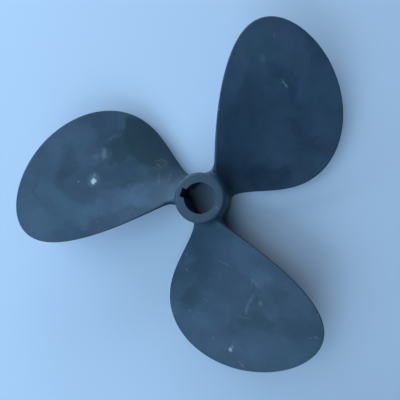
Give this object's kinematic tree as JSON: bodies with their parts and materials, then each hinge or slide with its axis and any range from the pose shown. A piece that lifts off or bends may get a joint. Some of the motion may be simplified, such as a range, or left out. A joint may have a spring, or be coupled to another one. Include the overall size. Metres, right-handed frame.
{
  "type": "ship propeller",
  "caption": "Right-handed fixed-pitch ship propeller: broad swept blades filleted into a tapered hub with a keyed taper bore, cast in one piece and painted grey.",
  "frame": {"origin": "on the shaft axis at the propeller's centre of mass, 29.7 mm forward of the hub's aft face", "axes": "+Z aft along the shaft axis, out of the small end of the bore; +Y through the keyway, a few degrees from one blade's generator; +X to the right seen from aft"},
  "size_m": [0.3679, 0.363, 0.0645],
  "materials": {
    "painted_bronze": "matt blue-grey paint on a cast surface, with chips and scuffs"
  },
  "bodies": {
    "root": {"propeller": "painted_bronze"}
  },
  "joints": []
}
